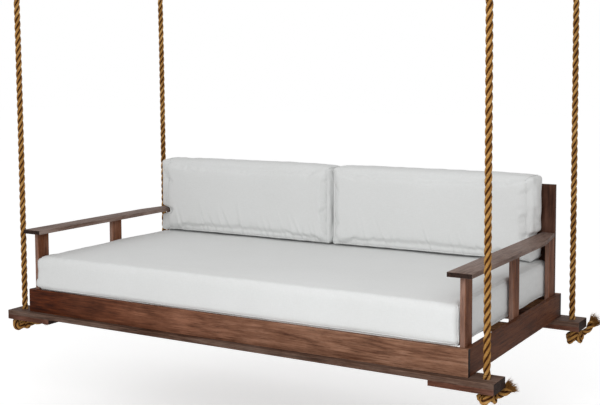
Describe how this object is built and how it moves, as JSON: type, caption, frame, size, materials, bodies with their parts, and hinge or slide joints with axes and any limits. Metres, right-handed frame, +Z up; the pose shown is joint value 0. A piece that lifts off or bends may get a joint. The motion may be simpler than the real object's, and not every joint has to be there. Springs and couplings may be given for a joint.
{
  "type": "porch swing",
  "caption": "Daybed porch swing: dark hardwood frame on hanging beams with mattress and back cushions, hung by knotted laid ropes from ceiling hangers.",
  "frame": {"origin": "middle of the four ceiling studs, on the ceiling plane", "axes": "+X along the bed to the viewer's right, +Y from the front to the back, +Z up"},
  "size_m": [2.2387, 1.1175, 1.875],
  "materials": {
    "frame_wood": "satin oiled dark hardwood",
    "beam_wood": "satin oiled dark hardwood, weathered edges",
    "deck_wood": "plain oiled hardwood",
    "cushion_cover": "woven off-white canvas",
    "manila_rope": "three-strand laid manila",
    "galvanised_thimble": "galvanised",
    "hanger_steel": "black powder coat",
    "hanger_bush": "nylon"
  },
  "bodies": {
    "ceiling_hangers": {"hanger_bushes": "hanger_bush", "hanger_nuts": "hanger_steel", "hanger_pins": "hanger_steel", "hanger_studs": "hanger_steel", "hanger_yokes": "hanger_steel"},
    "front_left_line": {"front_left_rope": "manila_rope", "front_left_thimble": "galvanised_thimble"},
    "front_right_line": {"front_right_rope": "manila_rope", "front_right_thimble": "galvanised_thimble"},
    "rear_left_line": {"rear_left_rope": "manila_rope", "rear_left_thimble": "galvanised_thimble"},
    "rear_right_line": {"rear_right_rope": "manila_rope", "rear_right_thimble": "galvanised_thimble"},
    "bed": {"back_bottom_rail": "frame_wood", "back_slat_1": "frame_wood", "back_slat_2": "frame_wood", "back_slat_3": "frame_wood", "back_slat_4": "frame_wood", "back_slat_5": "frame_wood", "back_top_rail": "frame_wood", "centre_joist": "deck_wood", "deck_slat_01": "deck_wood", "deck_slat_02": "deck_wood", "deck_slat_03": "deck_wood", "deck_slat_04": "deck_wood", "deck_slat_05": "deck_wood", "deck_slat_06": "deck_wood", "deck_slat_07": "deck_wood", "deck_slat_08": "deck_wood", "deck_slat_09": "deck_wood", "deck_slat_10": "deck_wood", "front_beam": "beam_wood", "front_ledger": "deck_wood", "front_left_doubler": "beam_wood", "front_left_knot": "manila_rope", "front_rail": "frame_wood", "front_right_doubler": "beam_wood", "front_right_knot": "manila_rope", "left_arm": "frame_wood", "left_back_cushion": "cushion_cover", "left_back_stile": "frame_wood", "left_front_post": "frame_wood", "left_middle_post": "frame_wood", "left_rear_post": "frame_wood", "left_side_rail": "frame_wood", "mattress": "cushion_cover", "rear_beam": "beam_wood", "rear_ledger": "deck_wood", "rear_left_doubler": "beam_wood", "rear_left_knot": "manila_rope", "rear_rail": "frame_wood", "rear_right_doubler": "beam_wood", "rear_right_knot": "manila_rope", "right_arm": "frame_wood", "right_back_cushion": "cushion_cover", "right_back_stile": "frame_wood", "right_front_post": "frame_wood", "right_middle_post": "frame_wood", "right_rear_post": "frame_wood", "right_side_rail": "frame_wood"}
  },
  "joints": [
    {"name": "swing", "type": "hinge", "parent": "ceiling_hangers", "child": "front_left_line", "pos_m": [-1.047, -0.485, -0.07], "axis": [1, 0, 0], "range_deg": [-18, 18]},
    {"name": "bed_level", "type": "hinge", "parent": "front_left_line", "child": "bed", "pos_m": [-1.047, -0.485, -1.6972], "axis": [1, 0, 0], "range_deg": [-18, 18]},
    {"name": "front_right_line_swing", "type": "hinge", "parent": "bed", "child": "front_right_line", "pos_m": [1.047, -0.485, -1.6972], "axis": [1, 0, 0], "range_deg": [-18, 18]},
    {"name": "rear_left_line_swing", "type": "hinge", "parent": "bed", "child": "rear_left_line", "pos_m": [-1.047, 0.485, -1.6972], "axis": [1, 0, 0], "range_deg": [-18, 18]},
    {"name": "rear_right_line_swing", "type": "hinge", "parent": "bed", "child": "rear_right_line", "pos_m": [1.047, 0.485, -1.6972], "axis": [1, 0, 0], "range_deg": [-18, 18]}
  ],
  "couplings": [
    {"joint": "bed_level", "follows": "swing", "ratio": -1},
    {"joint": "front_right_line_swing", "follows": "swing", "ratio": 1},
    {"joint": "rear_left_line_swing", "follows": "swing", "ratio": 1},
    {"joint": "rear_right_line_swing", "follows": "swing", "ratio": 1}
  ]
}
